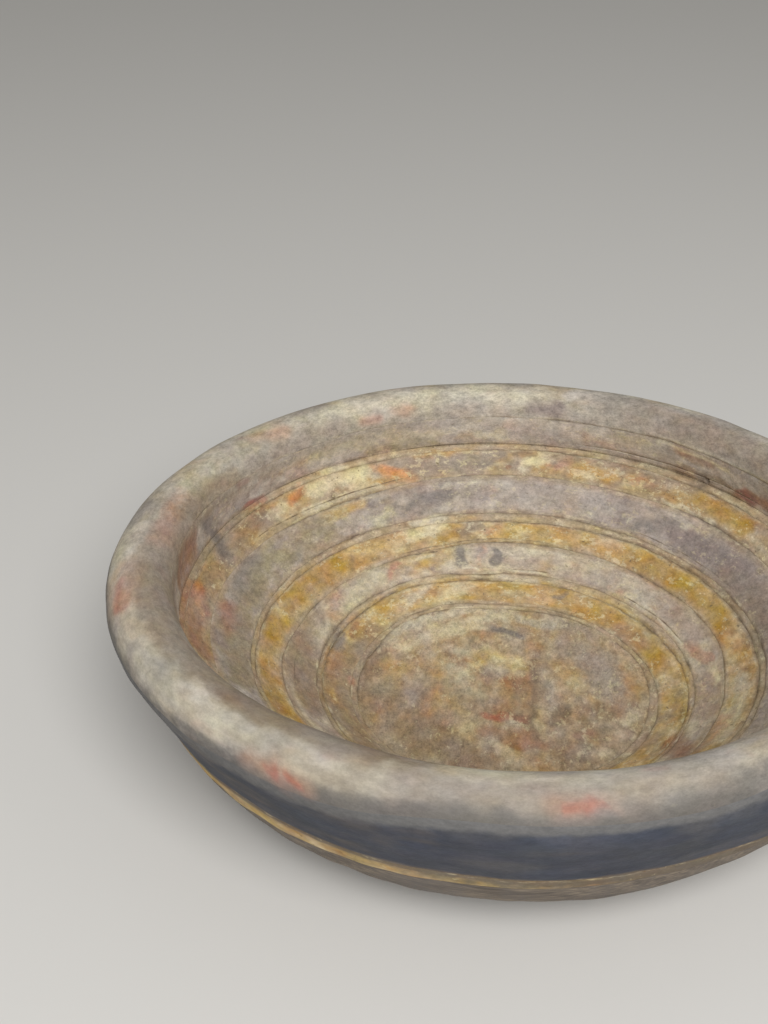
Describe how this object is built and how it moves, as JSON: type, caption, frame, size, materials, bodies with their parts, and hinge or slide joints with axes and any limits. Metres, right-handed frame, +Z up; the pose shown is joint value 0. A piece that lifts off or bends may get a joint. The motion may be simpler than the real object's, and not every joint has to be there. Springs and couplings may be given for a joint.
{
  "type": "carved wooden bowl",
  "caption": "Wide round wooden bowl with a thick rolled rim, scribed rings and worn earth-coloured paint bands inside, for holding food or loose things.",
  "frame": {"origin": "centre of the flat base, on the surface that the bowl stands on", "axes": "+Z up along the bowl's axis; the bowl is round, so +X and +Y are any two directions square to it, with the picture taken from the -Y side"},
  "size_m": [0.32, 0.32, 0.086],
  "materials": {
    "bare_wood": "old dry wood",
    "floor_ground": "worn matt brown ground",
    "cream_strip": "worn matt cream wash",
    "ochre": "worn matt ochre paint",
    "grey_wash": "worn matt grey-white wash",
    "mauve_wash": "worn matt grey-mauve wash",
    "patchy_ochre": "patchy matt ochre paint",
    "pale_wash": "worn matt pale wash",
    "slate_wash": "worn matt slate wash"
  },
  "bodies": {
    "root": {"bowl_body": "bare_wood", "floor_coat": "floor_ground", "floor_strip_coat": "cream_strip", "inner_ochre_coat": "ochre", "lower_strip_coat": "cream_strip", "grey_coat": "grey_wash", "outer_ochre_coat": "ochre", "middle_strip_coat": "cream_strip", "mauve_coat": "mauve_wash", "upper_ochre_coat": "patchy_ochre", "corner_coat": "cream_strip", "collar_coat": "mauve_wash", "rim_coat": "pale_wash", "slate_coat": "slate_wash", "shoulder_stripe_coat": "ochre"}
  },
  "joints": []
}
